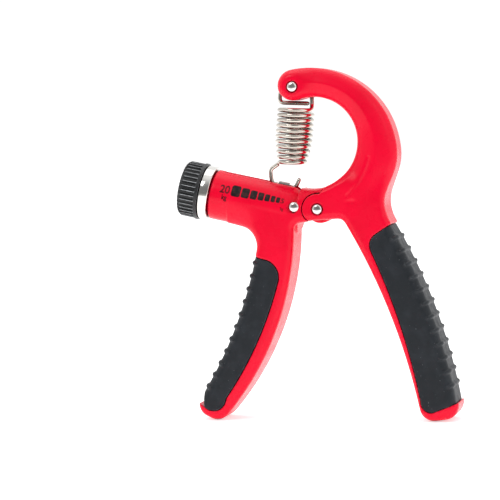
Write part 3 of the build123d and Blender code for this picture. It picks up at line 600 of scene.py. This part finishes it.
# ---------------------------------------------------------------- rivets
def rivet(node, side, across, up, half_length, shank, body):
    """One half of a rivet, a shank and a domed head: the pin on the front side, its cap on the back."""
    base = half_length - RECESS_DEPTH
    dome = [
        (base + 0.35 + HEAD_DOME * math.sin(a), (HEAD_RADIUS - 0.25) * math.cos(a) + 0.25)
        for a in np.linspace(0.25, math.pi / 2, 9)
    ]
    profile = [
        (-base + PIN_STOP if side > 0 else base - CAP_SHANK, shank),
        (base, shank),
        (base, HEAD_RADIUS - 0.12),
        (base + 0.1, HEAD_RADIUS),
        (base + HEAD_RIM, HEAD_RADIUS),
        *dome,
    ]
    centre = PIVOT + Vector((across, 0, up))
    piece = lathe(node + "_head", profile, centre, (0, -side, 0), POLISHED, 64)
    stand_for(piece, body, "polished_steel", node)


for pin_node, (spot, half, shank_radius, pin_body) in RIVETS.items():
    rivet(pin_node, 1, *spot, half, shank_radius, pin_body)
    rivet(pin_node + "_cap", -1, *spot, half, shank_radius, pin_body)


# ---------------------------------------------------------------- spring
def rounded_route(corners, radii):
    """Points of a flat line whose corners are rounded; one radius for each corner between its ends."""
    points = [np.array(corners[0])]
    for before, corner, after, radius in zip(corners, corners[1:], corners[2:], radii):
        before, corner, after = map(np.array, (before, corner, after))
        into = (before - corner) / np.linalg.norm(before - corner)
        out = (after - corner) / np.linalg.norm(after - corner)
        half = math.acos(np.clip(into @ out, -1, 1)) / 2
        reach = radius / math.tan(half)
        middle = corner + (into + out) / np.linalg.norm(into + out) * radius / math.sin(half)
        start, end = corner + into * reach - middle, corner + out * reach - middle
        turn = math.atan2(start[0] * end[1] - start[1] * end[0], start @ end)
        quarter_on = np.array((-start[1], start[0]))
        points += [middle + around(angle, start, quarter_on) for angle in np.linspace(0, turn, CORNER_POINTS)]
    points.append(np.array(corners[-1]))
    return points


def coil_point(turn):
    """Middle of the wire after that many turns, from the pivot: across, depth and up in mm."""
    share = turn / COIL_TURNS
    run = np.array(COIL_BOTTOM) - np.array(COIL_TOP)
    middle = np.array(COIL_TOP) + share * run
    side = np.array((-run[1], run[0])) / np.linalg.norm(run)
    taper = max(0.0, (turn - TAPER_START) / (COIL_TURNS - TAPER_START))
    radius = COIL_RADIUS - (COIL_RADIUS - COIL_END_RADIUS) * taper**TAPER_POWER
    angle = 2 * math.pi * turn
    flat = middle + side * radius * math.cos(angle)
    return np.array((flat[0], -radius * math.sin(angle), flat[1]))


def even_steps(points):
    """The same line with its points evenly spaced, about WIRE_STEP apart."""
    points = np.array(points)
    lengths = np.concatenate(([0], np.cumsum(np.linalg.norm(np.diff(points, axis=0), axis=1))))
    marks = np.linspace(0, lengths[-1], max(2, int(lengths[-1] / WIRE_STEP)))
    return np.stack([np.interp(marks, lengths, points[:, i]) for i in range(3)], 1)


def wire_line():
    """Whole wire from the loop's free end to the hook's, with the turn reached at each point."""
    loop = [np.array((p[0], 0, p[1])) for p in rounded_route(UPPER_LOOP, LOOP_RADII)]
    coil = [coil_point(t) for t in np.linspace(0, COIL_TURNS, int(COIL_TURNS * RINGS_PER_TURN) + 1)]
    hook_corners = [(coil[-1][0] - 0.1, coil[-1][2] - 0.5), HOOK_CORNER]
    for station, height in LOWER_HOOK_STATIONS:
        spot = BARREL_FOOT - PIVOT + station * ALONG + height * ABOVE
        hook_corners.append((spot.x, spot.z))
    hook = [np.array((p[0], 0, p[1])) for p in rounded_route(hook_corners, HOOK_RADII)]
    loop, hook = even_steps(loop), even_steps(hook)
    line = np.concatenate((loop, np.array(coil[1:-1]), hook))
    coil_turns = np.linspace(0, COIL_TURNS, len(coil))[1:-1]
    turns = np.concatenate((np.zeros(len(loop)), coil_turns, np.full(len(hook), COIL_TURNS)))
    # soften the joins of loop, coil and hook
    for _ in range(3):
        line[1:-1] = 0.25 * line[:-2] + 0.5 * line[1:-1] + 0.25 * line[2:]
    return line, turns


def wire_piece(name, line, turns, first_turn, last_turn, upper, lower, nodes):
    """Length of wire between two turns. A weight is worked out for each cross section, but nothing uses it.
    """
    keep = (turns >= first_turn) & (turns <= last_turn)
    line, turns = line[keep], turns[keep]
    start_free, end_free = first_turn < 0, last_turn > COIL_TURNS
    tangents = np.gradient(line, axis=0)
    tangents /= np.linalg.norm(tangents, axis=1)[:, None]
    normal = np.cross(tangents[0], (0, 1, 0.01))
    vertices, weights = [], []
    for index, (point, tangent) in enumerate(zip(line, tangents)):
        normal = normal - tangent * (normal @ tangent)
        normal /= np.linalg.norm(normal)
        side = np.cross(tangent, normal)
        to_start = index if start_free else len(line)
        to_end = len(line) - 1 - index if end_free else len(line)
        from_tip = min(to_start, to_end)
        radius = WIRE_RADIUS * (WIRE_TIP[from_tip] if from_tip < len(WIRE_TIP) else 1)
        for k in range(WIRE_SIDES):
            spot = point + radius * around(2 * math.pi * k / WIRE_SIDES, normal, side)
            vertices.append(place(spot[0], spot[2], -spot[1]))
            weights.append((turns[index] - turns.min()) / (turns.max() - turns.min()))
    piece = new_piece(name, vertices, tube_faces(len(line), WIRE_SIDES), SPRING)
    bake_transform(piece)
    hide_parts(*nodes)


wire = wire_line()
upper_nodes, lower_nodes = ["spring_top", "spring_middle"], ["spring_end"]
past_end = COIL_TURNS + 1
wire_piece("spring_wire_upper", *wire, -1, SHARED_TURN, "spring_top", "spring_middle", upper_nodes)
wire_piece("spring_wire_lower", *wire, SHARED_TURN, past_end, "spring_middle", "spring_end", lower_nodes)


# ---------------------------------------------------------------- ferrule and screw
FERRULE_SHOULDER = FERRULE_RADIUS - FERRULE_ROUNDING
ferrule_profile = [
    (FERRULE_START, FERRULE_BORE),
    (FERRULE_START, FERRULE_RADIUS - 0.5),
    *round_corner(FERRULE_START + FERRULE_ROUNDING, FERRULE_SHOULDER, FERRULE_ROUNDING, 180, 90),
    *round_corner(FERRULE_END - FERRULE_ROUNDING, FERRULE_SHOULDER, FERRULE_ROUNDING, 90, 0),
    (FERRULE_END, FERRULE_BORE),
]
ferrule = lathe("ferrule_ring", ferrule_profile, BARREL_FOOT, ALONG, POLISHED, 160)
stand_for(ferrule, "finger_handle", "polished_steel", "ferrule")


def threaded_screw():
    """Lead screw with its thread, from the journal in the end bearing to its seat in the knob."""
    threaded = np.arange(THREAD_START + THREAD_STEP / 2, THREAD_END, THREAD_STEP).tolist()
    rings = [*BEFORE_THREAD, *((station, None) for station in threaded), *AFTER_THREAD]
    vertices = []
    for station, plain_radius in rings:
        for k in range(SCREW_SIDES):
            angle = 2 * math.pi * k / SCREW_SIDES
            radius = plain_radius
            if radius is None:
                wave = math.cos(2 * math.pi * station / THREAD_PITCH - angle)
                radius = SCREW_RADIUS - THREAD_DEPTH * (0.5 - 0.5 * wave)
            vertices.append((BARREL_FOOT + station * ALONG + radius * around(angle, ABOVE, FRONT)) * MM)
    return new_piece("screw_thread", vertices, tube_faces(len(rings), SCREW_SIDES, flip=True), MACHINED)


stand_for(threaded_screw(), "knob", "machined_steel", "lead_screw")


# ---------------------------------------------------------------- knob
def finned_knob():
    """Adjusting knob: a plain ring, then a band of raised fins that run over its chamfered end."""
    sides = FIN_COUNT * FIN_SAMPLES
    # station along the barrel, radius, and how deep the gaps between fins are there
    profile = [
        (KNOB_START, KNOB_BORE, 0),
        (KNOB_START, KNOB_RADIUS - 0.25, 0),
        (KNOB_START + 0.15, KNOB_RADIUS - 0.05, 0),
        (KNOB_START + 0.4, KNOB_RADIUS, 0),
        (KNOB_START + 1.1, KNOB_RADIUS, 0),
        (KNOB_START + 1.35, KNOB_RADIUS - 0.05, 0),
        (KNOB_START + 1.5, KNOB_RADIUS - 0.3, 0.3),
        (KNOB_START + 1.8, FIN_RADIUS, 1),
        (KNOB_END - 1.8, FIN_RADIUS, 1),
        (KNOB_END - 1.1, FIN_RADIUS - 0.25, 1),
        (KNOB_END - 0.5, FIN_RADIUS - 0.75, 0.7),
        (KNOB_END - 0.15, FIN_RADIUS - 1.25, 0.3),
        (KNOB_END, FIN_RADIUS - 1.9, 0),
        (KNOB_END, KNOB_DISH, 0),
        (KNOB_DISH_FLOOR, KNOB_DISH, 0),
        (KNOB_DISH_FLOOR, KNOB_BORE, 0),
    ]
    vertices = []
    for station, radius, depth in profile:
        for k in range(sides):
            from_crest = abs((k / FIN_SAMPLES + 0.5) % 1 - 0.5)
            gap = float(smoothstep(*FIN_SLOPE, from_crest)) * FIN_DEPTH * depth
            out = around(2 * math.pi * k / sides, ABOVE, FRONT)
            vertices.append((BARREL_FOOT + station * ALONG + (radius - gap) * out) * MM)
    faces = tube_faces(len(profile), sides, flip=True, closed=True)
    return new_piece("knob_fins", vertices, faces, BLACK, False)


stand_for(finned_knob(), "knob", "black_plastic", "knob")


# ---------------------------------------------------------------- words of the scale
PRINT_HALF = 0.1         # mm that the print stands over the barrel's surface, and reaches under it


def scale_word(name, word, station, angle, height, width_share, material):
    """Printed word laid round the barrel, centred on that station and that angle above the front."""
    curve = bpy.data.curves.new(name, "FONT")
    curve.body = word
    curve.align_x = "CENTER"
    curve.align_y = "CENTER"
    curve.extrude = 0.02
    curve.offset = 0.012
    holder = bpy.data.objects.new(name + "_text", curve)
    bpy.context.scene.collection.objects.link(holder)
    mesh = bpy.data.meshes.new_from_object(holder.evaluated_get(bpy.context.evaluated_depsgraph_get()))
    bpy.data.objects.remove(holder)
    piece = bpy.data.objects.new(name, mesh)
    bpy.context.scene.collection.objects.link(piece)
    values = coordinates(piece)
    low, high = values.min(0), values.max(0)
    scale = height / (high[1] - low[1])
    flat = (values - (low + high) / 2) * scale
    placed = []
    for x, y, z in flat.tolist():
        turn = math.radians(angle) + y / BARREL_RADIUS
        radius = BARREL_RADIUS + (PRINT_HALF if z > 0 else -PRINT_HALF)
        spot = BARREL_FOOT + (station - x * width_share) * ALONG
        placed.append((spot + radius * around(turn, FRONT, ABOVE)) * MM)
    move_to(piece, np.array(placed))
    mesh.materials.clear()
    mesh.materials.append(material)
    stand_for(piece, "finger_handle", "print")


scale_word("scale_20", "20", 42.8, 21.0, 3.7, 0.9, RED_INK)
scale_word("scale_20_kg", "kg", 42.4, 0.6, 2.9, 0.85, RED_INK)
scale_word("scale_5", "5", 16.1, 21.6, 2.2, 1.1, FAINT_INK)
scale_word("scale_5_kg", "kg", 15.6, 2.1, 1.7, 0.9, FAINT_INK)


# ---------------------------------------------------------------- finishes of the other CAD nodes
for node_name, node_object in frame["nodes"].items():
    if not node_object.hide_render:
        node_object.data.materials.clear()
        node_object.data.materials.append(LOOKS[slot_of(node_name)])


# ---------------------------------------------------------------- studio
FLOOR_HALF = 4.0         # metres, as all of the studio
FLOOR_GAP = 0.0002       # below the lowest point of the object
OBJECT_MIDDLE = (0.0, 0.0, 0.08)

# white paper, darker in front of the object so that less light comes back up, and glowing behind it
paper = Finish("studio_paper")
white_paper = paper.mix(paper.noise(4, 2), (0.93, 0.93, 0.935), (0.97, 0.97, 0.97))
floor_split = paper.node("ShaderNodeSeparateXYZ")
paper.link(paper.where, floor_split.inputs[0])
behind = paper.spread(floor_split.outputs["Y"], -0.75, -0.32, 0, 1)
paper.colour(paper.mix(behind, (0.30, 0.30, 0.30), white_paper))
paper.link(paper.spread(behind, 0, 1, 0, 0.5), paper.shader.inputs["Emission Strength"])
paper.set(Roughness=0.85, Emission_Color=(1, 1, 1, 1))
floor_corners = [(FLOOR_HALF * x, FLOOR_HALF * y, 0) for x, y in ((-1, -1), (1, -1), (1, 1), (-1, 1))]
floor = new_piece("studio_floor", floor_corners, [(0, 1, 2, 3)], paper.material, False)
floor.location = (0, 0, cad_bounds[0][2] - FLOOR_GAP)


def soft_light(name, size, place_at, power):
    """Rectangular light aimed at the middle of the object."""
    light = bpy.data.lights.new(name, "AREA")
    light.shape = "RECTANGLE"
    light.size, light.size_y = size
    light.energy = power
    lamp = bpy.data.objects.new(name, light)
    lamp.location = place_at
    lamp.rotation_euler = (Vector(OBJECT_MIDDLE) - Vector(place_at)).to_track_quat("-Z", "Y").to_euler()
    bpy.context.scene.collection.objects.link(lamp)


soft_light("key", (0.5, 0.35), (-0.45, -0.75, 0.85), 2.4)
soft_light("fill", (0.5, 0.7), (0.75, -0.6, 0.55), 0.5)
soft_light("over", (0.8, 0.5), (0.0, 0.15, 0.9), 1.6)

# a surrounding white that is dimmer towards the front
world = bpy.data.worlds.new("studio_white")
world.use_nodes = True
sky = world.node_tree
background = sky.nodes["Background"]
direction = sky.nodes.new("ShaderNodeTexCoord")
parts = sky.nodes.new("ShaderNodeSeparateXYZ")
ramp = sky.nodes.new("ShaderNodeMapRange")
ramp.interpolation_type = "SMOOTHSTEP"
for socket_name, value in (("From Min", -0.95), ("From Max", -0.25), ("To Min", 0.22), ("To Max", 1.05)):
    ramp.inputs[socket_name].default_value = value
sky.links.new(direction.outputs["Generated"], parts.inputs[0])
sky.links.new(parts.outputs["Y"], ramp.inputs["Value"])
sky.links.new(ramp.outputs["Result"], background.inputs["Strength"])
background.inputs["Color"].default_value = (1, 1, 1, 1)
bpy.context.scene.world = world
bpy.context.scene.view_settings.view_transform = "Standard"

# ---------------------------------------------------------------- camera
CAMERA_AT = Vector((0.2055806, -0.9787647, 0.1400581))
CAMERA_RIGHT = Vector((0.9720367, 0.2334454, -0.0254537))
CAMERA_UP = Vector((0.0098344, 0.0678291, 0.9976485))
CAMERA_BACK = Vector((0.2346229, -0.9700013, 0.0636366))
lens = bpy.data.cameras.new("camera")
lens.sensor_width = 36
lens.lens = 161.25
camera = bpy.data.objects.new("camera", lens)
camera_axes = Matrix((CAMERA_RIGHT, CAMERA_UP, CAMERA_BACK)).transposed()
camera.matrix_world = Matrix.Translation(CAMERA_AT) @ camera_axes.to_4x4()
bpy.context.scene.collection.objects.link(camera)
bpy.context.scene.camera = camera
